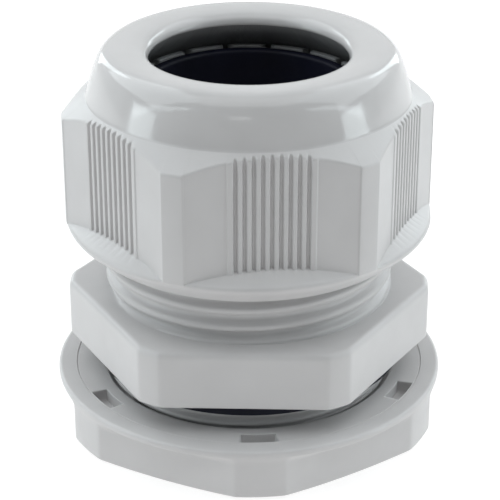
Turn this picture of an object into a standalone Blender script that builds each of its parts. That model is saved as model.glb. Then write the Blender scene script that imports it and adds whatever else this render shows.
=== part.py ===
"""PG 29 cable gland in light grey nylon, as loosely put together as it is sold.

From the bottom up: a flanged locknut, a sealing washer, the threaded body with its spanner hexagon, a rubber
seal insert inside a ring of sixteen clamping fingers, and the dome nut, whose inner cone closes the fingers.

Blender units are metres, +Z up. The origin is on the gland's axis, in the plane of the locknut's lower face,
and the cable leaves upwards through the dome nut. The sizes below are in millimetres and degrees, and every
piece is a section, given as radius and height, that is swept once around the axis.
"""

import math
from collections import namedtuple

import bmesh
import bpy
from mathutils import Matrix

MM = 0.001
TAU = 2 * math.pi
WELD_DISTANCE = 0.002 * MM
SHARP_ANGLE = math.radians(28)
CLEARANCE = 0.3          # between pieces that touch on the real gland
THREAD_CLEARANCE = 0.35  # radial, between a thread and its nut
ROUND_COLUMNS = 48       # around a piece that has no hexagon
FLAT_COLUMNS = 6         # across one flat of a hexagon

# Turn of each hexagon as it is screwed on: the angle of one flat's normal from +X.
LOCKNUT_TURN = 3.3
BODY_TURN = 28.3
DOME_NUT_TURN = 37.5

# Locknut
LOCKNUT_FLAT = 23.0        # axis to flat, for a 46 mm spanner
LOCKNUT_CORNER = 24.95
LOCKNUT_BEVEL = 0.21       # rise of the lower face for each mm beyond the flats
FLANGE_RADIUS = 25.15
FLANGE_TOP = 7.0
FLANGE_EDGE_HIGH = 6.6
FLANGE_EDGE_LOW = 6.15
FLANGE_EDGE = 0.7          # width of the flange's rounded upper edge
FLANGE_ROOT = 5.4
BASE_EDGE = 1.0            # the lower face is level up to this far inside the flats
RIM_INNER = 22.5           # inside this circle the flange dishes slightly towards the hole
RIM_STEP, RIM_STEP_DROP = 0.1, 0.05
DISH_DROP = 0.15
LOCKNUT_MOUTH = 19.0
NOTCH_INNER, NOTCH_OUTER = 20.6, 22.6
NOTCH_WIDTH = 4.7
NOTCH_DEPTH = 1.6
NOTCH_TURN = 33.3

# PG 29 connection thread: 37.0 mm over the crests, 16 threads per inch
PG_CREST, PG_ROOT, PG_PITCH = 18.5, 17.75, 1.5875
PG_START = 0.1             # height of a crest on +X
PG_LOW = 0.9               # where the body's thread starts, above its lead-in chamfer
PG_LEAD = 0.4              # radial size of that chamfer, and height of the plain neck under the hexagon
BODY_LOW = 0.45

# Sealing washer
WASHER_INNER, WASHER_OUTER = 18.85, 20.1
WASHER_LOW = 9.15
WASHER_EDGE = 0.15

# Body
HEX_FLAT = 21.0            # axis to flat, for a 42 mm spanner, on the body and on the dome nut
HEX_CORNER = 23.42
HEX_LOW, HEX_HIGH = 10.65, 18.25
HEX_EDGE = 0.9             # size of the rounded upper edge
HEX_EDGE_MIDDLE = 0.3      # share of that edge by which its middle stands in from the corner
HEX_LOW_EDGE = 0.2
BORE = 14.0
BODY_HIGH = 34.0
SEAL_SHELF = 33.0
COUNTERBORE = 15.1

# Clamping thread between body and dome nut: rounded, 37.0 mm over the crests
CLAMP_CREST, CLAMP_ROOT, CLAMP_PITCH = 18.5, 17.6, 2.3
CLAMP_START = 17.35        # where a root begins on +X, hidden in the hexagon
CLAMP_HIGH = 33.0
CLAMP_RUN_OUT = 0.4        # height over which the last thread falls to its root
CLAMP_LEAD = 0.6           # radial size of the chamfer at the body's upper rim

# Clamping fingers
FINGER_COUNT = 16
FINGER_TURN = 1.0
FINGER_GAP = 0.9           # at the tips, along the inner face
FINGER_HINGE = 15.7        # radius of the thin root that bends
FINGER_LOW = BODY_HIGH + CLEARANCE
FINGER_ROOT_INNER, FINGER_ROOT_OUTER = COUNTERBORE, 16.3
FINGER_TIP_INNER, FINGER_TIP_OUTER = 14.1, 15.2
FINGER_HIGH = 45.25
FINGER_BEVEL = 0.35
FINGER_COLUMNS = 4

# Seal insert
SEAL_BORE = 12.55          # passes a 25 mm cable
SEAL_LOW, SEAL_HIGH = SEAL_SHELF + CLEARANCE, 44.95
SEAL_FOOT = 1.4            # height of the straight foot below the taper
SEAL_LEAD = 0.6            # chamfer at both mouths of the bore

# Dome nut
NUT_LOW = 25.0
NUT_LOW_OUTER = 20.2
COLLAR_HEIGHT = 28.1       # where the lower collar is as wide as the corners
COLLAR_EDGE, COLLAR_EDGE_DROP = 0.5, 0.9
COLLAR_SLOPE = 0.55        # rise of the collar's upper side for each mm towards the axis
COLLAR_LAND = 0.02         # keeps the collar's upper side off its rim at the corners
SHOULDER_CORNER_HEIGHT = 42.0
SHOULDER_SLOPE = 0.776     # rise of the shoulder for each mm towards the axis
DOME_FOOT = (20.3, 44.25)
DOME_CORNERS = [(19.65, 47.05), (18.1, 50.25), (15.0, 50.5), (12.45, 49.75)]  # the dome bends towards these
LIP = (12.45, 48.65)
DOME_STEPS = 3             # for each of those corners
CONE_LOW_RADIUS, CONE_LOW = 17.3, 43.8
NUT_THREAD_HIGH = 33.4
RELIEF_RADIUS, RELIEF_HIGH = 18.9, 36.4
RELIEF_CHAMFER = 1.6
THREAD_LAND = 0.1          # height of the plain wall above the nut's thread
MOUTH_CHAMFER = 0.45       # lead-in at each end of an inner thread

NYLON_COLOUR, NYLON_ROUGHNESS = (0.56, 0.58, 0.58), 0.42
RUBBER_COLOUR, RUBBER_ROUGHNESS = (0.012, 0.013, 0.018), 0.6

# start is a height at which the thread's profile begins on +X; low and high are where it is cut off flat.
Thread = namedtuple("Thread", "pitch profile start low high")


def vee(crest, root):
    """One pitch of a V thread, as fractions of the pitch and radii."""
    return [(0.0, crest), (0.5, root)]


def rounded(crest, root):
    """One pitch of a thread with broad crests and roots."""
    return [(0.0, root), (0.2, root), (0.5, crest), (0.7, crest)]


def thread_radius(thread, theta, height):
    """Radius of a right-hand thread at one angle and height."""
    fraction = ((height - thread.start) / thread.pitch - theta / TAU) % 1.0
    following = thread.profile[1:] + [(1.0, thread.profile[0][1])]
    for (start, start_radius), (end, end_radius) in zip(thread.profile, following):
        if fraction <= end:
            share = (fraction - start) / (end - start)
            return start_radius + share * (end_radius - start_radius)
    return following[-1][1]


def thread_rows(thread, theta):
    """A thread's outline at one angle, bottom to top, cut off flat at both ends."""
    rows = [(thread_radius(thread, theta, thread.low), thread.low)]
    first = math.floor((thread.low - thread.start) / thread.pitch) - 1
    last = math.ceil((thread.high - thread.start) / thread.pitch)
    for turn in range(first, last + 1):
        for fraction, radius in thread.profile:
            height = thread.start + thread.pitch * (turn + fraction + theta / TAU)
            cut = min(max(height, thread.low), thread.high)
            rows.append((radius if cut == height else thread_radius(thread, theta, cut), cut))
    rows.append((thread_radius(thread, theta, thread.high), thread.high))
    return rows


def one_turn_on(points, shift):
    """A column's points in the order in which the column before it meets them.

    After one turn each row of a rising thread has moved up by a pitch, which is shift rows.
    """
    if shift < 0:
        return one_turn_on(points[::-1], -shift)[::-1]
    last = len(points) - 1
    return [points[0]] + [points[min(row + shift, last)] for row in range(1, last)] + [points[last]]


def in_pairs(points):
    """Each point with the next one, and the last with the first."""
    return zip(points, points[1:] + points[:1])


def ring_mesh(name, angles, section):
    """Sweeps a closed section around the axis. It is a list of stretches, each with its thread shift."""
    shape = bmesh.new()
    columns = []
    for theta in angles:
        column = []
        for stretch, shift in section(theta):
            points = [
                shape.verts.new((r * MM * math.cos(theta), r * MM * math.sin(theta), z * MM))
                for r, z in stretch
            ]
            column.append((points, shift))
        columns.append(column)
    ends = [(one_turn_on(points, shift), shift) for points, shift in columns[0]]
    for here, ahead in zip(columns, columns[1:] + [ends]):
        rows = [pair for (a, _), (b, _) in zip(here, ahead) for pair in zip(a, b)]
        for (a_low, b_low), (a_high, b_high) in in_pairs(rows):
            corners = list(dict.fromkeys((a_low, b_low, b_high, a_high)))
            if len(corners) > 2:
                shape.faces.new(corners)
    return finished_mesh(name, shape)


def finished_mesh(name, shape):
    """Welds coincident points, turns the faces outwards and shades round surfaces smooth."""
    bmesh.ops.remove_doubles(shape, verts=shape.verts, dist=WELD_DISTANCE)
    bmesh.ops.recalc_face_normals(shape, faces=shape.faces)
    mesh = bpy.data.meshes.new(name)
    shape.to_mesh(mesh)
    shape.free()
    mesh.shade_smooth()
    mesh.set_sharp_from_angle(angle=SHARP_ANGLE)
    return mesh


def hexagon_half(flat, corner):
    """Half the angle that one flat takes up before the rounded corner starts."""
    return math.acos(flat / corner)


def hexagon_radius(theta, turn, flat, corner):
    """Outline of a hexagon whose corners are turned down to a radius."""
    sixth = TAU / 6
    offset = (theta - math.radians(turn) + sixth / 2) % sixth - sixth / 2
    return min(flat / math.cos(offset), corner)


def hexagon_angles(turn, flat, corner):
    """Angles from 0 to a full turn that include every edge of the hexagon's flats."""
    half = hexagon_half(flat, corner)
    angles = []
    for side in range(6):
        middle = math.radians(turn) + side * TAU / 6
        angles += [
            middle + half * (2 * step / FLAT_COLUMNS - 1) for step in range(FLAT_COLUMNS + 1)
        ]
        angles.append(middle + TAU / 12)
    return sorted(angle % TAU for angle in angles)


def round_angles():
    return [TAU * step / ROUND_COLUMNS for step in range(ROUND_COLUMNS)]


def smooth_curve(start, corners, end, steps):
    """A curve from start to end that touches each side of the line through the corners at its middle."""
    middles = [
        ((r0 + r1) / 2, (z0 + z1) / 2) for (r0, z0), (r1, z1) in zip(corners, corners[1:])
    ]
    points = [start]
    for before, corner, after in zip([start] + middles, corners, middles + [end]):
        for step in range(1, steps + 1):
            share = step / steps
            points.append(tuple(
                a * (1 - share) ** 2 + b * 2 * share * (1 - share) + c * share ** 2
                for a, b, c in zip(before, corner, after)
            ))
    return points


def locknut_section(theta):
    outline = hexagon_radius(theta, LOCKNUT_TURN, LOCKNUT_FLAT, LOCKNUT_CORNER)
    bevel = (outline - LOCKNUT_FLAT) * LOCKNUT_BEVEL
    dish = FLANGE_TOP - DISH_DROP
    profile = vee(PG_CREST + THREAD_CLEARANCE, PG_ROOT + THREAD_CLEARANCE)
    thread = Thread(PG_PITCH, profile, PG_START, MOUTH_CHAMFER, dish - MOUTH_CHAMFER)
    outside = [
        (LOCKNUT_MOUTH, 0.0),
        (LOCKNUT_FLAT - BASE_EDGE, 0.0),
        (outline, bevel),
        (outline, FLANGE_ROOT),
        (FLANGE_RADIUS, FLANGE_EDGE_LOW),
        (FLANGE_RADIUS, FLANGE_EDGE_HIGH),
        (FLANGE_RADIUS - FLANGE_EDGE, FLANGE_TOP),
        (RIM_INNER, FLANGE_TOP),
        (RIM_INNER - RIM_STEP, FLANGE_TOP - RIM_STEP_DROP),
        (LOCKNUT_MOUTH, dish),
    ]
    return [(outside, 0), (thread_rows(thread, theta)[::-1], -len(profile))]


def washer_section(_theta):
    high = HEX_LOW - CLEARANCE
    return [([
        (WASHER_INNER, WASHER_LOW),
        (WASHER_OUTER - WASHER_EDGE, WASHER_LOW),
        (WASHER_OUTER, WASHER_LOW + WASHER_EDGE),
        (WASHER_OUTER, high - WASHER_EDGE),
        (WASHER_OUTER - WASHER_EDGE, high),
        (WASHER_INNER, high),
    ], 0)]


def body_section(theta):
    outline = hexagon_radius(theta, BODY_TURN, HEX_FLAT, HEX_CORNER)
    lower = Thread(PG_PITCH, vee(PG_CREST, PG_ROOT), PG_START, PG_LOW, HEX_LOW - PG_LEAD)
    profile = rounded(CLAMP_CREST, CLAMP_ROOT)
    upper = Thread(CLAMP_PITCH, profile, CLAMP_START, HEX_HIGH, CLAMP_HIGH)
    edge_middle = HEX_EDGE * HEX_EDGE_MIDDLE
    foot = [(BORE, BODY_LOW), (PG_ROOT - PG_LEAD, BODY_LOW)]
    hexagon = [
        (PG_ROOT, HEX_LOW),
        (outline - HEX_LOW_EDGE, HEX_LOW),
        (outline, HEX_LOW + HEX_LOW_EDGE),
        (outline, HEX_HIGH - HEX_EDGE),
        (outline - edge_middle, HEX_HIGH - edge_middle),
        (outline - HEX_EDGE, HEX_HIGH),
    ]
    head = [
        (CLAMP_ROOT, CLAMP_HIGH + CLAMP_RUN_OUT),
        (CLAMP_ROOT - CLAMP_LEAD, BODY_HIGH),
        (COUNTERBORE, BODY_HIGH),
        (COUNTERBORE, SEAL_SHELF),
        (BORE, SEAL_SHELF),
    ]
    return [
        (foot, 0),
        (thread_rows(lower, theta), len(lower.profile)),
        (hexagon, 0),
        (thread_rows(upper, theta), len(upper.profile)),
        (head, 0),
    ]


def finger_inner(height):
    """Radius of the fingers' inner faces."""
    share = (height - FINGER_LOW) / (FINGER_HIGH - FINGER_LOW)
    return FINGER_ROOT_INNER + share * (FINGER_TIP_INNER - FINGER_ROOT_INNER)


def seal_section(_theta):
    low_outer = COUNTERBORE - CLEARANCE
    return [([
        (SEAL_BORE + SEAL_LEAD, SEAL_LOW),
        (low_outer, SEAL_LOW),
        (low_outer, SEAL_LOW + SEAL_FOOT),
        (finger_inner(SEAL_HIGH) - CLEARANCE, SEAL_HIGH),
        (SEAL_BORE + SEAL_LEAD / 2, SEAL_HIGH),
        (SEAL_BORE, SEAL_HIGH - SEAL_LEAD),
        (SEAL_BORE, SEAL_LOW + SEAL_LEAD),
    ], 0)]


def dome_nut_section(theta):
    outline = hexagon_radius(theta, DOME_NUT_TURN, HEX_FLAT, HEX_CORNER)
    inward = HEX_CORNER - outline
    root = CLAMP_CREST + THREAD_CLEARANCE
    profile = rounded(root, CLAMP_ROOT + THREAD_CLEARANCE)
    thread = Thread(CLAMP_PITCH, profile, CLAMP_START, NUT_LOW + MOUTH_CHAMFER, NUT_THREAD_HIGH)
    skirt = [
        (root + MOUTH_CHAMFER, NUT_LOW),
        (NUT_LOW_OUTER, NUT_LOW),
        (HEX_CORNER - COLLAR_EDGE, COLLAR_HEIGHT - COLLAR_EDGE_DROP),
        (HEX_CORNER, COLLAR_HEIGHT),
        (outline, COLLAR_HEIGHT + COLLAR_LAND + inward * COLLAR_SLOPE),
        (outline, SHOULDER_CORNER_HEIGHT + inward * SHOULDER_SLOPE),
    ]
    dome = smooth_curve(DOME_FOOT, DOME_CORNERS, LIP, DOME_STEPS)
    inside = [
        (CONE_LOW_RADIUS, CONE_LOW),
        (CONE_LOW_RADIUS, RELIEF_HIGH + RELIEF_CHAMFER),
        (RELIEF_RADIUS, RELIEF_HIGH),
        (RELIEF_RADIUS, NUT_THREAD_HIGH + THREAD_LAND),
    ]
    return [
        (skirt + dome + inside, 0),
        (thread_rows(thread, theta)[::-1], -len(profile)),
    ]


def finger_mesh():
    """One clamping finger, standing on +X, with its origin in the thin root that bends."""
    half = (TAU * FINGER_TIP_INNER / FINGER_COUNT - FINGER_GAP) / FINGER_TIP_INNER / 2
    section = [
        (FINGER_ROOT_INNER, FINGER_LOW),
        (FINGER_ROOT_OUTER, FINGER_LOW),
        (FINGER_TIP_OUTER, FINGER_HIGH - FINGER_BEVEL),
        (FINGER_TIP_OUTER - FINGER_BEVEL, FINGER_HIGH),
        (FINGER_TIP_INNER, FINGER_HIGH),
    ]
    shape = bmesh.new()
    columns = []
    for column in range(FINGER_COLUMNS):
        theta = half * (2 * column / (FINGER_COLUMNS - 1) - 1)
        columns.append([
            shape.verts.new((
                (r * math.cos(theta) - FINGER_HINGE) * MM,
                r * math.sin(theta) * MM,
                (z - FINGER_LOW) * MM,
            ))
            for r, z in section
        ])
    for here, ahead in zip(columns, columns[1:]):
        for (a_low, a_high), (b_low, b_high) in zip(in_pairs(here), in_pairs(ahead)):
            shape.faces.new((a_low, b_low, b_high, a_high))
    shape.faces.new(columns[0])
    shape.faces.new(columns[-1][::-1])
    return finished_mesh("clamp_finger", shape)


def notch_mesh():
    """Six blocks that cut the locknut's notches, for a tool or a lock ring."""
    shape = bmesh.new()
    radial = NOTCH_OUTER - NOTCH_INNER
    for side in range(6):
        place = (
            Matrix.Rotation(math.radians(NOTCH_TURN) + side * TAU / 6, 4, "Z")
            @ Matrix.Translation((
                (NOTCH_INNER + NOTCH_OUTER) / 2 * MM,
                0.0,
                FLANGE_TOP * MM,
            ))
            @ Matrix.Diagonal((radial * MM, NOTCH_WIDTH * MM, 2 * NOTCH_DEPTH * MM, 1.0))
        )
        bmesh.ops.create_cube(shape, size=1.0, matrix=place)
    mesh = bpy.data.meshes.new("notches")
    shape.to_mesh(mesh)
    shape.free()
    return mesh


def make_material(name, colour, roughness):
    material = bpy.data.materials.new(name)
    material.use_nodes = True
    shader = material.node_tree.nodes["Principled BSDF"]
    shader.inputs["Base Color"].default_value = (*colour, 1.0)
    shader.inputs["Roughness"].default_value = roughness
    shader.inputs["Metallic"].default_value = 0.0
    return material


def add_piece(name, mesh, material):
    if not mesh.materials:
        mesh.materials.append(material)
    piece = bpy.data.objects.new(name, mesh)
    bpy.context.scene.collection.objects.link(piece)
    return piece


def add_locknut(material):
    angles = hexagon_angles(LOCKNUT_TURN, LOCKNUT_FLAT, LOCKNUT_CORNER)
    locknut = add_piece("locknut", ring_mesh("locknut", angles, locknut_section), material)
    cutter = bpy.data.objects.new("notch_cutter", notch_mesh())
    cutter.hide_render = True
    cutter.display_type = "WIRE"
    bpy.context.scene.collection.objects.link(cutter)
    notches = locknut.modifiers.new("notches", "BOOLEAN")
    notches.operation = "DIFFERENCE"
    notches.solver = "EXACT"
    notches.object = cutter


def add_fingers(material):
    mesh = finger_mesh()
    for index in range(FINGER_COUNT):
        theta = math.radians(FINGER_TURN) + TAU * index / FINGER_COUNT
        finger = add_piece(f"clamp_finger_{index + 1:02d}", mesh, material)
        finger.location = (
            FINGER_HINGE * MM * math.cos(theta),
            FINGER_HINGE * MM * math.sin(theta),
            FINGER_LOW * MM,
        )
        finger.rotation_euler = (0.0, 0.0, theta)


def main():
    for leftover in list(bpy.data.objects):
        bpy.data.objects.remove(leftover, do_unlink=True)
    nylon = make_material("grey_nylon", NYLON_COLOUR, NYLON_ROUGHNESS)
    rubber = make_material("black_rubber", RUBBER_COLOUR, RUBBER_ROUGHNESS)
    body_angles = hexagon_angles(BODY_TURN, HEX_FLAT, HEX_CORNER)
    nut_angles = hexagon_angles(DOME_NUT_TURN, HEX_FLAT, HEX_CORNER)
    add_locknut(nylon)
    add_piece("sealing_washer", ring_mesh("sealing_washer", round_angles(), washer_section), rubber)
    add_piece("gland_body", ring_mesh("gland_body", body_angles, body_section), nylon)
    add_piece("seal_insert", ring_mesh("seal_insert", round_angles(), seal_section), rubber)
    add_piece("dome_nut", ring_mesh("dome_nut", nut_angles, dome_nut_section), nylon)
    add_fingers(nylon)


main()
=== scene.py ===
"""Looks of the PG 29 cable gland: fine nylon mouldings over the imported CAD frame, in a soft studio.

Every moulding but the fingers is a section swept once round the gland's axis. A section is a list of corners,
each with its radius, its height and the size of its rounding. It may change with the angle, which gives the
hexagons, ribs, notches and threads. A finger is a section swept over its own width.
The pieces' sizes are in millimetres until a mesh is built. Lights, floor and camera are in metres. The
constants give angles in degrees, and the functions work in radians.
"""

import math
from collections import namedtuple

import bmesh
import bpy
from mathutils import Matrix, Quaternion, Vector


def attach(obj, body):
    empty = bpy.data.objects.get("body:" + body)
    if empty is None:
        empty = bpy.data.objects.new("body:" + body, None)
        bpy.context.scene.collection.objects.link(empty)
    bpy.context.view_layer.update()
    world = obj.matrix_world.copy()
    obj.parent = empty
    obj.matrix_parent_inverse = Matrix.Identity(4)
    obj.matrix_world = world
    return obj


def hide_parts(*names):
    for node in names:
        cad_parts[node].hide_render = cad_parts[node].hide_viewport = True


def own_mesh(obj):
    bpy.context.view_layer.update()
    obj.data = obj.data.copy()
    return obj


MM = 0.001
TAU = 2 * math.pi
SIXTH = TAU / 6

Column = namedtuple("Column", "theta outline")
Thread = namedtuple("Thread", "pitch crest root start low high")

# Sweeping
ARC_STEPS, LONGEST_ROUNDING, SHORTEST_SIDE = 4, 0.45, 1e-6
MERGE_DISTANCE = 0.001
FLAT_FACE_WEIGHT = 80
THREAD_STEPS, THREAD_FLATNESS, THREAD_PHASE = 12, 1.8, 0.6

# Columns round a hexagon, as shares of a flat or of a corner's arc
CORNER_SHARES = (0.03, 0.08, 0.2, 0.35, 0.5, 0.65, 0.8, 0.92, 0.97)
FLAT_SHARE = 0.93
FLAT_EDGE_SHARES = (0.955, 0.97, 0.985, 1.0)
FLAT_STEPS, PANEL_STEPS = 20, 12
WASHER_COLUMNS, SEAL_COLUMNS = 128, 96

# Turns of the three hexagons: the angle of one flat's normal from +X
LOCKNUT_TURN, BODY_TURN, DOME_NUT_TURN = 3.3, 28.3, 37.5

# Locknut
LOCKNUT_FLAT, LOCKNUT_CORNER, LOCKNUT_BLEND = 23.0, 24.95, 0.15
LOCKNUT_BEVEL, LOCKNUT_BASE_INSET, LOCKNUT_BASE_ROUND = 0.21, 0.6, 0.3
LOCKNUT_MOUTH, MOUTH_HEIGHT, MOUTH_ROUND = 18.87, 6.75, 0.3
LOCKNUT_THREAD_LOW, LOCKNUT_THREAD_HIGH = 0.45, 6.2
FLANGE_RADIUS, FLANGE_TOP, FLANGE_EDGE_LOW, FLANGE_ROOT = 25.15, 7.0, 6.15, 5.4
FLANGE_ROOT_ROUND, FLANGE_EDGE_ROUND, FLANGE_TOP_ROUND = 0.6, 0.15, 0.5
RIM_STEP, RIM_LINE, RIM_LINE_HALF, RIM_ROUND = 0.07, 0.16, 0.08, 0.03
NOTCH_INNER, NOTCH_OUTER, NOTCH_DEPTH = 20.6, 22.6, 1.5
NOTCH_TURN, NOTCH_HALF, NOTCH_WALL = 33.3, 6.1, 0.35
NOTCH_WALL_SHARES = (0.0, 0.3, 0.5, 0.7, 1.0)
NOTCH_LEAN, NOTCH_ROUND = 0.02, 0.05

# Connection thread, PG 29
PG_CREST, PG_ROOT, PG_PITCH, PG_START = 18.5, 17.75, 1.5875, 0.1
PG_LOW, PG_HIGH, NECK_LOW = 0.9, 8.05, 8.2

# Sealing washer
WASHER_INNER, WASHER_OUTER, WASHER_LOW, WASHER_HIGH = 18.85, 20.1, 9.15, 10.6
WASHER_INNER_ROUND, WASHER_OUTER_ROUND = 0.1, 0.3

# Body
HEX_FLAT, HEX_CORNER, HEX_BLEND = 21.0, 23.42, 0.2
HEX_LOW, HEX_HIGH, HEX_LOW_ROUND, HEX_HIGH_ROUND = 10.65, 18.25, 0.25, 0.95
BODY_LOW, BODY_HIGH, BORE, BODY_FOOT_INSET = 0.45, 34.0, 14.0, 0.4
HEAD_RISE, HEAD_INSET, HEAD_ROUND = 0.4, 0.6, 0.2
SEAL_SHELF, COUNTERBORE, SHELF_ROUND = 33.0, 15.1, 0.1

# Clamping thread
CLAMP_CREST, CLAMP_ROOT, CLAMP_PITCH, CLAMP_START = 18.5, 17.6, 2.3, 17.35
CLAMP_HIGH, CLAMP_FOOT_OUT = 33.0, 0.1
THREAD_GAP = 0.35

# Fingers
FINGER_COUNT, FINGER_TURN, FINGER_GAP = 16, 1.0, 0.75
FINGER_LOW, FINGER_HIGH = 34.3, 45.25
FINGER_ROOT_INNER, FINGER_ROOT_OUTER = 15.1, 16.3
FINGER_TIP_INNER, FINGER_TIP_OUTER = 14.1, 15.2
FINGER_INNER_ROUND, FINGER_OUTER_ROUND = 0.2, 0.45
FINGER_SHARES = (-1, -0.66, -0.33, 0, 0.33, 0.66, 1)

# Seal
SEAL_BORE, SEAL_LOW, SEAL_HIGH = 12.55, 33.3, 45.15
SEAL_GAP, SEAL_STEP, SEAL_BORE_ROUND, SEAL_ROUND = 0.3, 0.4, 0.5, 0.3

# Dome nut, from its mouth up
NUT_LOW, NUT_LOW_OUTER, NUT_LOW_ROUND, NUT_MOUTH_STEP = 25.0, 20.2, 0.35, 0.45
COLLAR_HEIGHT, COLLAR_SLOPE, COLLAR_LEDGE = 28.1, 0.55, 0.02
COLLAR_EDGE_INSET, COLLAR_EDGE_DROP = 0.5, 0.9
COLLAR_EDGE_ROUND, COLLAR_ROUND, COLLAR_TOP_ROUND = 0.6, 0.7, 0.15
SHOULDER_HEIGHT, SHOULDER_SLOPE, SHOULDER_ROUND = 42.0, 0.747, 0.3
DOME_FOOT, LIP = (20.3, 44.33), (12.45, 48.65)
DOME_CORNERS = [(19.65, 47.05), (18.1, 50.25), (15.0, 50.5), (12.45, 49.75)]
DOME_STEPS = 9
FOOT_OUT, FOOT_END, FOOT_STEPS = 0.17, (20.2, 44.75), 5
GLOSS_MARGIN, CEILING_NORMAL = 0.03, -0.3
CONE_LOW, CONE_ROUND = (17.3, 43.8), 0.2
NUT_THREAD_HIGH, RELIEF_RADIUS, RELIEF_HIGH = 33.4, 18.9, 36.4
RELIEF_RISE, THREAD_RUNOUT = 1.6, 0.1

# Grooves between the ribs on the dome nut's flats
GROOVE_COUNT, GROOVE_PITCH, GROOVE_DEPTH = 9, 1.08, 0.42
GROOVE_FLOOR, GROOVE_LIP = 0.1, 0.36
GROOVE_OFFSETS = (-0.36, -0.31, -0.26, -0.2, -0.14, -0.08, 0.08, 0.14, 0.2, 0.26, 0.31, 0.36)
PANEL_DEPTH, PANEL_MARGIN, RIB_EDGE = 0.14, 0.3, 0.22
RIB_EDGE_SHARES = (1.0, 0.75, 0.5, 0.25, 0.0)

# Plastics: two colours for the mottle, a range of roughness, and the strength of the mould grain
Plastic = namedtuple("Plastic", "name dark light rough_low rough_high grain specular")
NYLON_DARK, NYLON_LIGHT = (0.562, 0.552, 0.552), (0.592, 0.582, 0.582)
# Painted shade: the nylon made darker for the dome nut's inner cone and the fingers, inside the opening
PAINTED_SHADE_DARK, PAINTED_SHADE_LIGHT = (0.24, 0.245, 0.25), (0.255, 0.26, 0.265)
RUBBER_DARK, RUBBER_LIGHT = (0.0015, 0.002, 0.008), (0.003, 0.004, 0.014)
SATIN = Plastic("satin_nylon", NYLON_DARK, NYLON_LIGHT, 0.36, 0.44, 0.35, 0.5)
GLOSS = Plastic("gloss_nylon", NYLON_DARK, NYLON_LIGHT, 0.09, 0.14, 0.03, 0.5)
RUBBER = Plastic("black_rubber", RUBBER_DARK, RUBBER_LIGHT, 0.5, 0.65, 0.5, 0.2)
PAINTED_SHADE = Plastic("painted_shade_nylon", PAINTED_SHADE_DARK, PAINTED_SHADE_LIGHT, 0.4, 0.48, 0.35, 0.3)
PLASTIC_IOR = 1.53
GLOSS_SLOT, PAINTED_SHADE_SLOT = 1, 2

# Noise patterns, by scale and detail, and the part of their range that is used
Pattern = namedtuple("Pattern", "scale detail")
MOTTLE, UNEVEN_GLOSS = Pattern(160, 4), Pattern(420, 3)
SINK_MARKS, MOULD_GRAIN = Pattern(90, 1), Pattern(2600, 2)
NOISE_ROUGHNESS, NOISE_LOW, NOISE_HIGH = 0.5, 0.3, 0.7
SINK_DEPTH, SINK_STRENGTH, GRAIN_DEPTH = 0.05, 0.35, 0.02

# Softboxes: azimuth is degrees right of the front and elevation degrees up, seen from the point they face
COOL = (0.88, 0.98, 1.0)
PALE_BLUE = (0.91, 0.975, 1.0)
PLAIN = (1.0, 1.0, 1.0)
Softbox = namedtuple("Softbox", "name azimuth elevation distance width height roll power colour")
SOFTBOXES = [
    Softbox("side_left", -77, 4, 0.45, 0.17, 0.12, 0, 0.26, COOL),
    Softbox("side_right", 77, 4, 0.45, 0.17, 0.12, 0, 0.26, COOL),
    Softbox("tail_left", -66, 17, 0.45, 0.38, 0.035, 31, 0.11, COOL),
    Softbox("tail_right", 66, 17, 0.45, 0.38, 0.035, -31, 0.11, COOL),
    Softbox("streak_left", -141, 18, 0.45, 0.07, 0.36, -28, 0.22, COOL),
    Softbox("streak_right", 141, 18, 0.45, 0.07, 0.36, 28, 0.24, COOL),
    Softbox("high_left", -100, 42, 0.55, 0.7, 0.5, 0, 2.1, PALE_BLUE),
    Softbox("high_right", 100, 42, 0.55, 0.7, 0.5, 0, 1.85, PALE_BLUE),
    Softbox("centre", -7, 23, 0.45, 0.12, 0.02, 0, 0.02, PLAIN),
    Softbox("top", 0, 72, 0.5, 0.5, 0.4, 0, 0.75, PLAIN),
]
SOFTBOX_AIM = (0.0, 0.0, 0.047)

# Glows that change along +Y, which points away from the front: (place, strength) at either end of the change
FLOOR_HALF, FLOOR_WHITE, FLOOR_ROUGHNESS = 3.0, 0.3, 0.9
FLOOR_DIM, FLOOR_BRIGHT = (-0.2, 0.26), (-0.07, 0.78)
ROOM_DIM, ROOM_BRIGHT = (0.0, 0.02), (0.8, 0.7)

# Camera
CAMERA_DISTANCE, CAMERA_ELEVATION, CAMERA_TARGET = 0.240, 25.54, (0.0, 0.0, 0.02223)
SENSOR_WIDTH, LENS, SHIFT_X = 36.0, 133.16, 0.0023
CLIP_START, CLIP_END = 0.005, 20.0


def smoothstep(low, high, value):
    """0 below low, 1 above high, and a smooth change between."""
    share = min(max((value - low) / (high - low), 0.0), 1.0)
    return share * share * (3 - 2 * share)


def soft_min(first, second, blend):
    """The smaller of two values, rounded over where they meet."""
    near = max(blend - abs(first - second), 0.0) / blend
    return min(first, second) - near * near * blend / 4


def curve_point(start, corner, end, t):
    """A point on the curve that leaves start and reaches end along the two sides of a corner."""
    return start * (1 - t) ** 2 + corner * 2 * t * (1 - t) + end * t ** 2


def rounded_line(corners):
    """A line through (radius, height, rounding) corners, each turned into a short arc."""
    points = []
    last = len(corners) - 1
    for index, (r, z, rounding) in enumerate(corners):
        here = Vector((r, z))
        if index in (0, last) or rounding == 0:
            points.append((r, z))
            continue
        before = Vector(corners[index - 1][:2]) - here
        after = Vector(corners[index + 1][:2]) - here
        start = here + before * min(rounding / max(before.length, SHORTEST_SIDE), LONGEST_ROUNDING)
        end = here + after * min(rounding / max(after.length, SHORTEST_SIDE), LONGEST_ROUNDING)
        for step in range(ARC_STEPS + 1):
            point = curve_point(start, here, end, step / ARC_STEPS)
            points.append((point.x, point.y))
    return points


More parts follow.
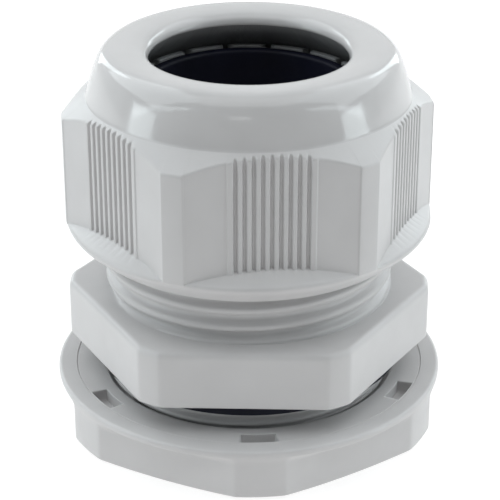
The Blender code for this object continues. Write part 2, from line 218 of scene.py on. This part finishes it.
def smooth_curve(start, corners, end, steps):
    """A curve from start to end that touches each side of the line through the corners at its middle."""
    middles = [
        ((r0 + r1) / 2, (z0 + z1) / 2) for (r0, z0), (r1, z1) in zip(corners, corners[1:])
    ]
    points = [start]
    for before, corner, after in zip([start] + middles, corners, middles + [end]):
        for step in range(1, steps + 1):
            points.append(tuple(
                curve_point(a, b, c, step / steps) for a, b, c in zip(before, corner, after)
            ))
    return points


def thread_radius(thread, theta, height):
    """Radius of a right-hand thread with broad, rounded crests and roots."""
    fraction = (height - thread.start) / thread.pitch - theta / TAU
    wave = math.tanh(THREAD_FLATNESS * math.cos(TAU * (fraction - THREAD_PHASE)))
    wave /= math.tanh(THREAD_FLATNESS)
    return (thread.crest + thread.root) / 2 + (thread.crest - thread.root) / 2 * wave


def thread_rows(thread, theta):
    """A thread's outline at one angle, bottom to top, cut off at both ends."""
    first = math.floor((thread.low - thread.start) / thread.pitch) - 1
    last = math.ceil((thread.high - thread.start) / thread.pitch)
    heights = [
        thread.start + thread.pitch * (turn + step / THREAD_STEPS + theta / TAU)
        for turn in range(first, last + 1)
        for step in range(THREAD_STEPS)
    ]
    cut = [thread.low] + [min(max(z, thread.low), thread.high) for z in heights] + [thread.high]
    return [(thread_radius(thread, theta, z), z) for z in cut]


def one_turn_on(points, shift):
    """A column's points in the order in which the column before it meets them, one pitch lower."""
    if shift < 0:
        return one_turn_on(points[::-1], -shift)[::-1]
    last = len(points) - 1
    return [points[0]] + [points[min(row + shift, last)] for row in range(1, last)] + [points[last]]


def vertices(shape, theta, points):
    """New vertices for (radius, height) points at one angle."""
    cos, sin = math.cos(theta), math.sin(theta)
    return [shape.verts.new((r * MM * cos, r * MM * sin, z * MM)) for r, z in points]


def swept(name, columns, section):
    """A closed ring. section(column) gives stretches of points, each with the rows that a thread climbs in a
    turn, or 0 where there is no thread."""
    shape = bmesh.new()
    rings = [
        [(vertices(shape, column.theta, points), shift) for points, shift in section(column)]
        for column in columns
    ]
    closing = [(one_turn_on(points, shift), shift) for points, shift in rings[0]]
    for here, ahead in zip(rings, rings[1:] + [closing]):
        rows = [pair for (a, _), (b, _) in zip(here, ahead) for pair in zip(a, b)]
        for (a_low, b_low), (a_high, b_high) in zip(rows, rows[1:] + rows[:1]):
            corners = list(dict.fromkeys((a_low, b_low, b_high, a_high)))
            if len(corners) > 2:
                shape.faces.new(corners)
    bmesh.ops.remove_doubles(shape, verts=shape.verts, dist=MERGE_DISTANCE * MM)
    return finished(name, shape)


def finished(name, shape):
    """An object whose broad faces stay flat beside their small roundings."""
    bmesh.ops.recalc_face_normals(shape, faces=shape.faces)
    mesh = bpy.data.meshes.new(name)
    shape.to_mesh(mesh)
    shape.free()
    mesh.shade_smooth()
    piece = bpy.data.objects.new(name, mesh)
    bpy.context.scene.collection.objects.link(piece)
    weighted = piece.modifiers.new("flat_faces", "WEIGHTED_NORMAL")
    weighted.mode = "FACE_AREA"
    weighted.weight = FLAT_FACE_WEIGHT
    return piece


def round_columns(count):
    """Columns at even angles, for a piece that is round."""
    return [Column(TAU * step / count, 0.0) for step in range(count)]


def hexagon_columns(turn, flat, corner, offsets, depth, blend):
    """Columns round a hexagon, at the given offsets along each flat and then round its corner."""
    half = math.acos(flat / corner)
    columns = []
    for side in range(6):
        middle = math.radians(turn) + side * SIXTH
        for offset in offsets:
            reach = flat - depth(offset)
            radius = soft_min(math.hypot(offset, reach), corner, blend)
            columns.append(Column((middle + math.atan2(offset, reach)) % TAU, radius))
        spare = SIXTH - 2 * half
        for share in CORNER_SHARES:
            angle = half + spare * share
            radius = soft_min(flat / math.cos(min(angle, SIXTH - angle)), corner, blend)
            columns.append(Column((middle + angle) % TAU, radius))
    return sorted(columns)


def even_offsets(flat, corner, count):
    """Offsets across a flat, closer together towards its two edges."""
    end = math.sqrt(corner ** 2 - flat ** 2)
    inner = [end * (2 * step / count - 1) * FLAT_SHARE for step in range(count + 1)]
    edge = [end * share for share in FLAT_EDGE_SHARES]
    return [-offset for offset in reversed(edge)] + inner + edge


def level(_offset):
    """The depth of a plain flat."""
    return 0.0


def rib_depth(offset):
    """How far the dome nut's side lies behind its rib tops, at one offset along a flat."""
    place = abs(offset)
    last = (GROOVE_COUNT - 1) / 2
    nearest = min(round(place / GROOVE_PITCH), last)
    away = abs(place - nearest * GROOVE_PITCH)
    groove = GROOVE_DEPTH * (1 - smoothstep(GROOVE_FLOOR, GROOVE_LIP, away))
    ribs_end = (last + 1) * GROOVE_PITCH
    return groove + PANEL_DEPTH * smoothstep(ribs_end - RIB_EDGE, ribs_end, place)


def nut_offsets():
    """Offsets across one side of the dome nut: fine over the ribs, coarser over the plain panels."""
    last = (GROOVE_COUNT - 1) // 2
    offsets = [
        groove * GROOVE_PITCH + offset for groove in range(-last, last + 1) for offset in GROOVE_OFFSETS
    ]
    ribs_end = (last + 1) * GROOVE_PITCH
    edge = [ribs_end - RIB_EDGE * share for share in RIB_EDGE_SHARES]
    across = even_offsets(HEX_FLAT, HEX_CORNER, PANEL_STEPS)
    outer = edge + [offset for offset in across if offset > ribs_end + PANEL_MARGIN]
    return [-offset for offset in reversed(outer)] + offsets + outer


def nut_section(column):
    """The dome nut at one angle: up its outside, over the dome, and down its cone and thread."""
    out = column.outline
    inward = HEX_CORNER - out
    mouth = CLAMP_CREST + THREAD_GAP
    low = NUT_LOW + NUT_MOUTH_STEP
    thread = Thread(CLAMP_PITCH, mouth, CLAMP_ROOT + THREAD_GAP, CLAMP_START, low, NUT_THREAD_HIGH)
    skirt = rounded_line([
        (mouth + NUT_MOUTH_STEP, NUT_LOW, 0),
        (NUT_LOW_OUTER, NUT_LOW, NUT_LOW_ROUND),
        (HEX_CORNER - COLLAR_EDGE_INSET, COLLAR_HEIGHT - COLLAR_EDGE_DROP, COLLAR_EDGE_ROUND),
        (HEX_CORNER, COLLAR_HEIGHT, COLLAR_ROUND),
        (out, COLLAR_HEIGHT + COLLAR_LEDGE + inward * COLLAR_SLOPE, COLLAR_TOP_ROUND),
        (out, SHOULDER_HEIGHT + inward * SHOULDER_SLOPE, SHOULDER_ROUND),
        (DOME_FOOT[0] + FOOT_OUT, DOME_FOOT[1] - FOOT_OUT * SHOULDER_SLOPE, 0),
    ])
    foot = smooth_curve(skirt[-1], [DOME_FOOT], FOOT_END, FOOT_STEPS)
    dome = smooth_curve(DOME_FOOT, DOME_CORNERS, LIP, DOME_STEPS)
    inside = rounded_line([
        (*LIP, 0),
        (*CONE_LOW, CONE_ROUND),
        (CONE_LOW[0], RELIEF_HIGH + RELIEF_RISE, CONE_ROUND),
        (RELIEF_RADIUS, RELIEF_HIGH, CONE_ROUND),
        (RELIEF_RADIUS, NUT_THREAD_HIGH + THREAD_RUNOUT, 0),
    ])
    smooth = skirt + foot[1:] + dome[1:] + inside[1:]
    return [(smooth, 0), (thread_rows(thread, column.theta)[::-1], -THREAD_STEPS)]


def body_section(column):
    """The body at one angle: from its foot up the thread, hexagon and clamping thread to the seal's shelf."""
    lower = Thread(PG_PITCH, PG_CREST, PG_ROOT, PG_START, PG_LOW, PG_HIGH)
    upper = Thread(CLAMP_PITCH, CLAMP_CREST, CLAMP_ROOT, CLAMP_START, HEX_HIGH, CLAMP_HIGH)
    foot = [(BORE, BODY_LOW), (PG_ROOT - BODY_FOOT_INSET, BODY_LOW)]
    hexagon = rounded_line([
        (PG_CREST, NECK_LOW, 0),
        (PG_CREST, HEX_LOW, 0),
        (column.outline, HEX_LOW, HEX_LOW_ROUND),
        (column.outline, HEX_HIGH, HEX_HIGH_ROUND),
        (CLAMP_CREST + CLAMP_FOOT_OUT, HEX_HIGH, 0),
    ])
    head = rounded_line([
        (CLAMP_ROOT, CLAMP_HIGH + HEAD_RISE, 0),
        (CLAMP_ROOT - HEAD_INSET, BODY_HIGH, HEAD_ROUND),
        (COUNTERBORE, BODY_HIGH, HEAD_ROUND),
        (COUNTERBORE, SEAL_SHELF, SHELF_ROUND),
        (BORE, SEAL_SHELF, 0),
    ])
    return [
        (foot, 0),
        (thread_rows(lower, column.theta), THREAD_STEPS),
        (hexagon, 0),
        (thread_rows(upper, column.theta), THREAD_STEPS),
        (head, 0),
    ]


def from_middle(theta, middle):
    """The angle from the nearest of six repeats of a direction."""
    return (theta - middle + SIXTH / 2) % SIXTH - SIXTH / 2


def notch_share(theta):
    """1 inside one of the locknut's six notches, 0 between them."""
    half = math.radians(NOTCH_HALF)
    away = abs(from_middle(theta, math.radians(NOTCH_TURN)))
    return 1 - smoothstep(half - math.radians(NOTCH_WALL), half, away)


def locknut_columns():
    """The hexagon's columns, and more of them across the walls of the notches."""
    offsets = even_offsets(LOCKNUT_FLAT, LOCKNUT_CORNER, FLAT_STEPS)
    columns = hexagon_columns(
        LOCKNUT_TURN, LOCKNUT_FLAT, LOCKNUT_CORNER, offsets, level, LOCKNUT_BLEND
    )
    flat_turn = math.radians(LOCKNUT_TURN)
    for side in range(6):
        middle = math.radians(NOTCH_TURN) + side * SIXTH
        for sign in (-1, 1):
            for share in NOTCH_WALL_SHARES:
                angle = middle + sign * math.radians(NOTCH_HALF - NOTCH_WALL * share)
                reach = LOCKNUT_FLAT / math.cos(from_middle(angle, flat_turn))
                columns.append(Column(angle % TAU, soft_min(reach, LOCKNUT_CORNER, LOCKNUT_BLEND)))
    return sorted(columns)


def locknut_section(column):
    """The locknut at one angle: its base, hexagon, flange, rim line, notch or dish, and thread."""
    out = column.outline
    bevel = (out - LOCKNUT_FLAT) * LOCKNUT_BEVEL
    depth = NOTCH_DEPTH * notch_share(column.theta)
    dish = FLANGE_TOP - RIM_STEP
    slope = (dish - MOUTH_HEIGHT) / (NOTCH_OUTER - LOCKNUT_MOUTH)
    inner_height = MOUTH_HEIGHT + slope * (NOTCH_INNER - LOCKNUT_MOUTH)
    crest, root = PG_CREST + THREAD_GAP, PG_ROOT + THREAD_GAP
    thread = Thread(PG_PITCH, crest, root, PG_START, LOCKNUT_THREAD_LOW, LOCKNUT_THREAD_HIGH)
    outside = rounded_line([
        (LOCKNUT_MOUTH, 0.0, 0),
        (LOCKNUT_FLAT - LOCKNUT_BASE_INSET, 0.0, LOCKNUT_BASE_ROUND),
        (out, bevel, LOCKNUT_BASE_ROUND),
        (out, FLANGE_ROOT, FLANGE_ROOT_ROUND),
        (FLANGE_RADIUS, FLANGE_EDGE_LOW, FLANGE_EDGE_ROUND),
        (FLANGE_RADIUS, FLANGE_TOP, FLANGE_TOP_ROUND),
        (NOTCH_OUTER + 3 * RIM_LINE_HALF, FLANGE_TOP, RIM_ROUND),
        (NOTCH_OUTER + 2 * RIM_LINE_HALF, FLANGE_TOP - RIM_LINE, RIM_ROUND),
        (NOTCH_OUTER + RIM_LINE_HALF, dish, RIM_ROUND),
        (NOTCH_OUTER, dish, RIM_ROUND),
        (NOTCH_OUTER - NOTCH_LEAN, dish - depth, NOTCH_ROUND),
        (NOTCH_INNER + NOTCH_LEAN, inner_height - depth, NOTCH_ROUND),
        (NOTCH_INNER, inner_height, NOTCH_ROUND),
        (LOCKNUT_MOUTH, MOUTH_HEIGHT, MOUTH_ROUND),
        (crest, LOCKNUT_THREAD_HIGH, 0),
    ])
    return [(outside, 0), (thread_rows(thread, column.theta)[::-1], -THREAD_STEPS)]


def washer_section(_column):
    """The washer's rounded rectangle, closed at the middle of its bore."""
    middle = (WASHER_LOW + WASHER_HIGH) / 2
    return [(rounded_line([
        (WASHER_INNER, middle, 0),
        (WASHER_INNER, WASHER_LOW, WASHER_INNER_ROUND),
        (WASHER_OUTER, WASHER_LOW, WASHER_OUTER_ROUND),
        (WASHER_OUTER, WASHER_HIGH, WASHER_OUTER_ROUND),
        (WASHER_INNER, WASHER_HIGH, WASHER_INNER_ROUND),
        (WASHER_INNER, middle, 0),
    ]), 0)]


def finger_inner(height):
    """Radius of the fingers' inner faces at a height."""
    share = (height - FINGER_LOW) / (FINGER_HIGH - FINGER_LOW)
    return FINGER_ROOT_INNER + share * (FINGER_TIP_INNER - FINGER_ROOT_INNER)


def seal_section(_column):
    """The seal: a foot in the counterbore, and a sleeve that tapers up inside the fingers."""
    outer = COUNTERBORE - SEAL_GAP
    middle = (SEAL_LOW + SEAL_HIGH) / 2
    return [(rounded_line([
        (SEAL_BORE, middle, 0),
        (SEAL_BORE, SEAL_LOW, SEAL_BORE_ROUND),
        (outer, SEAL_LOW, SEAL_ROUND),
        (outer, FINGER_LOW + SEAL_STEP, SEAL_ROUND),
        (finger_inner(SEAL_HIGH) - SEAL_GAP, SEAL_HIGH, SEAL_ROUND),
        (SEAL_BORE, SEAL_HIGH, SEAL_BORE_ROUND),
        (SEAL_BORE, middle, 0),
    ]), 0)]


def finger(index):
    """One clamping finger with rounded edges, in place."""
    half = (TAU * FINGER_TIP_INNER / FINGER_COUNT - FINGER_GAP) / FINGER_TIP_INNER / 2
    turn = math.radians(FINGER_TURN) + TAU * index / FINGER_COUNT
    section = rounded_line([
        (FINGER_ROOT_INNER, FINGER_LOW, 0),
        (FINGER_ROOT_OUTER, FINGER_LOW, 0),
        (FINGER_TIP_OUTER, FINGER_HIGH, FINGER_OUTER_ROUND),
        (FINGER_TIP_INNER, FINGER_HIGH, FINGER_INNER_ROUND),
        ((FINGER_ROOT_INNER + FINGER_TIP_INNER) / 2, (FINGER_LOW + FINGER_HIGH) / 2, 0),
    ])
    shape = bmesh.new()
    columns = [vertices(shape, turn + half * share, section) for share in FINGER_SHARES]
    for here, ahead in zip(columns, columns[1:]):
        for row, (a, b) in enumerate(zip(here, ahead)):
            shape.faces.new((a, b, ahead[row - 1], here[row - 1]))
    shape.faces.new(columns[0])
    shape.faces.new(columns[-1][::-1])
    return finished(f"finger_{index + 1:02d}_visual", shape)


def noise(tree, coordinates, pattern):
    """The output of a noise pattern."""
    made = tree.nodes.new("ShaderNodeTexNoise")
    made.inputs["Scale"].default_value = pattern.scale
    made.inputs["Detail"].default_value = pattern.detail
    made.inputs["Roughness"].default_value = NOISE_ROUGHNESS
    tree.links.new(coordinates, made.inputs["Vector"])
    return made.outputs["Fac"]


def mapped(tree, value, low, high):
    """A value mapped from one (input, output) pair to the other, and level beyond them."""
    made = tree.nodes.new("ShaderNodeMapRange")
    made.inputs["From Min"].default_value, made.inputs["To Min"].default_value = low
    made.inputs["From Max"].default_value, made.inputs["To Max"].default_value = high
    tree.links.new(value, made.inputs["Value"])
    return made.outputs["Result"]


def mapped_along_y(tree, coordinates, low, high):
    """A value that changes from the front to the back."""
    place = tree.nodes.new("ShaderNodeTexCoord").outputs[coordinates]
    split = tree.nodes.new("ShaderNodeSeparateXYZ")
    tree.links.new(place, split.inputs["Vector"])
    return mapped(tree, split.outputs["Y"], low, high)


def bumped(tree, height, distance, strength, normal=None):
    """The normal of a bumpy surface, on top of another bump where one is given."""
    made = tree.nodes.new("ShaderNodeBump")
    made.inputs["Distance"].default_value = distance * MM
    made.inputs["Strength"].default_value = strength
    tree.links.new(height, made.inputs["Height"])
    if normal is not None:
        tree.links.new(normal, made.inputs["Normal"])
    return made.outputs["Normal"]


def plastic(finish):
    """Moulded plastic: a faint mottle, uneven gloss, a fine mould grain and slow sink marks."""
    material = bpy.data.materials.new(finish.name)
    material.use_nodes = True
    tree = material.node_tree
    shader = tree.nodes["Principled BSDF"]
    place = tree.nodes.new("ShaderNodeTexCoord").outputs["Object"]
    ramp = tree.nodes.new("ShaderNodeValToRGB")
    ends = ((NOISE_LOW, finish.dark), (NOISE_HIGH, finish.light))
    for stop, (position, colour) in zip(ramp.color_ramp.elements, ends):
        stop.position = position
        stop.color = (*colour, 1.0)
    tree.links.new(noise(tree, place, MOTTLE), ramp.inputs["Fac"])
    tree.links.new(ramp.outputs["Color"], shader.inputs["Base Color"])
    uneven = noise(tree, place, UNEVEN_GLOSS)
    gloss = mapped(tree, uneven, (NOISE_LOW, finish.rough_low), (NOISE_HIGH, finish.rough_high))
    tree.links.new(gloss, shader.inputs["Roughness"])
    slow = bumped(tree, noise(tree, place, SINK_MARKS), SINK_DEPTH, SINK_STRENGTH)
    fine = bumped(tree, noise(tree, place, MOULD_GRAIN), GRAIN_DEPTH, finish.grain, slow)
    tree.links.new(fine, shader.inputs["Normal"])
    shader.inputs["IOR"].default_value = PLASTIC_IOR
    shader.inputs["Specular IOR Level"].default_value = finish.specular
    return material


def dress(piece, body, cad_node, material):
    """Give a piece its material and the body it rides on, and hide the CAD node it stands for."""
    piece.data.materials.append(material)
    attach(piece, body)
    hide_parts(cad_node)


def build_nut(satin, gloss, painted_shade):
    """The dome nut: satin below, gloss from the dome's foot up, and painted shade where it faces down inside.
    """
    columns = hexagon_columns(DOME_NUT_TURN, HEX_FLAT, HEX_CORNER, nut_offsets(), rib_depth, HEX_BLEND)
    nut = swept("dome_nut_visual", columns, nut_section)
    dress(nut, "dome_nut", "dome_nut", satin)
    nut.data.materials.append(gloss)
    nut.data.materials.append(painted_shade)
    # Painted shade: faces high inside the dome that face down get the darker nylon
    for face in nut.data.polygons:
        if face.normal.z < CEILING_NORMAL and face.center.z > RELIEF_HIGH * MM:
            face.material_index = PAINTED_SHADE_SLOT
        elif face.center.z > (DOME_FOOT[1] - GLOSS_MARGIN) * MM:
            face.material_index = GLOSS_SLOT


def build_pieces():
    """Every visible piece, on its body."""
    satin, gloss, rubber, painted_shade = (plastic(finish) for finish in (SATIN, GLOSS, RUBBER, PAINTED_SHADE))
    build_nut(satin, gloss, painted_shade)
    offsets = even_offsets(HEX_FLAT, HEX_CORNER, FLAT_STEPS)
    columns = hexagon_columns(BODY_TURN, HEX_FLAT, HEX_CORNER, offsets, level, HEX_BLEND)
    body = swept("gland_body_visual", columns, body_section)
    dress(body, "gland_body", "gland_body", satin)
    locknut = swept("locknut_visual", locknut_columns(), locknut_section)
    dress(locknut, "locknut", "locknut", satin)
    washer = swept("washer_visual", round_columns(WASHER_COLUMNS), washer_section)
    dress(washer, "washer", "sealing_washer", rubber)
    seal = swept("seal_visual", round_columns(SEAL_COLUMNS), seal_section)
    dress(seal, "gland_body", "seal_insert", rubber)
    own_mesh(seal)
    for index in range(FINGER_COUNT):
        body_name = f"finger_{index + 1:02d}"
        cad_name = f"clamp_finger_{index + 1:02d}"
        # Painted shade: the fingers get the darker nylon, for their shaded tips inside the opening
        dress(finger(index), body_name, cad_name, painted_shade)


def polar(azimuth, elevation, distance):
    """A vector that points to an azimuth right of the front and an elevation, both in degrees."""
    side, up = math.radians(azimuth), math.radians(elevation)
    return Vector((
        distance * math.cos(up) * math.sin(side),
        -distance * math.cos(up) * math.cos(side),
        distance * math.sin(up),
    ))


def softbox(box):
    """A rectangular area light that faces the dome, rolled round the line to it."""
    light = bpy.data.lights.new(box.name, "AREA")
    light.shape = "RECTANGLE"
    light.size, light.size_y = box.width, box.height
    light.energy = box.power
    light.color = box.colour
    lamp = bpy.data.objects.new(box.name, light)
    away = polar(box.azimuth, box.elevation, box.distance)
    lamp.location = Vector(SOFTBOX_AIM) + away
    facing = (-away).to_track_quat("-Z", "Y")
    lamp.rotation_euler = (facing @ Quaternion((0, 0, 1), math.radians(box.roll))).to_euler()
    bpy.context.scene.collection.objects.link(lamp)


def build_floor():
    """A pale, glowing floor that is dimmer well in front of the part."""
    shape = bmesh.new()
    bmesh.ops.create_grid(shape, x_segments=1, y_segments=1, size=FLOOR_HALF)
    mesh = bpy.data.meshes.new("floor")
    shape.to_mesh(mesh)
    shape.free()
    floor = bpy.data.objects.new("floor", mesh)
    bpy.context.scene.collection.objects.link(floor)
    paint = bpy.data.materials.new("pale_floor")
    paint.use_nodes = True
    tree = paint.node_tree
    shader = tree.nodes["Principled BSDF"]
    shader.inputs["Base Color"].default_value = (FLOOR_WHITE, FLOOR_WHITE, FLOOR_WHITE, 1.0)
    shader.inputs["Roughness"].default_value = FLOOR_ROUGHNESS
    shader.inputs["Emission Color"].default_value = (*PLAIN, 1.0)
    glow = mapped_along_y(tree, "Object", FLOOR_DIM, FLOOR_BRIGHT)
    tree.links.new(glow, shader.inputs["Emission Strength"])
    mesh.materials.append(paint)


def build_room():
    """A plain surrounding light: dim from the front, bright from the back."""
    world = bpy.data.worlds.new("studio")
    world.use_nodes = True
    tree = world.node_tree
    background = tree.nodes["Background"]
    glow = mapped_along_y(tree, "Generated", ROOM_DIM, ROOM_BRIGHT)
    tree.links.new(glow, background.inputs["Strength"])
    background.inputs["Color"].default_value = (*PLAIN, 1.0)
    bpy.context.scene.world = world


def build_camera():
    """The camera in front of the part, looking down at it."""
    elevation = math.radians(CAMERA_ELEVATION)
    data = bpy.data.cameras.new("camera")
    data.sensor_width = SENSOR_WIDTH
    data.lens = LENS
    data.shift_x = SHIFT_X
    data.clip_start = CLIP_START
    data.clip_end = CLIP_END
    camera = bpy.data.objects.new("camera", data)
    camera.location = Vector(CAMERA_TARGET) + polar(0, CAMERA_ELEVATION, CAMERA_DISTANCE)
    camera.rotation_euler = (math.pi / 2 - elevation, 0.0, 0.0)
    bpy.context.scene.collection.objects.link(camera)
    bpy.context.scene.camera = camera
    bpy.context.scene.view_settings.view_transform = "Standard"


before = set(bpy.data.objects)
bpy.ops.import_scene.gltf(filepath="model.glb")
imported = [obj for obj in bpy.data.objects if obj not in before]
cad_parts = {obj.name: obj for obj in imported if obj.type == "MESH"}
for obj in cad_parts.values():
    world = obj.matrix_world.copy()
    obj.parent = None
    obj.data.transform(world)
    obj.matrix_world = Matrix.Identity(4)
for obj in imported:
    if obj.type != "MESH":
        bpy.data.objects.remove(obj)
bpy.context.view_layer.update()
build_pieces()
build_floor()
for box in SOFTBOXES:
    softbox(box)
build_room()
build_camera()
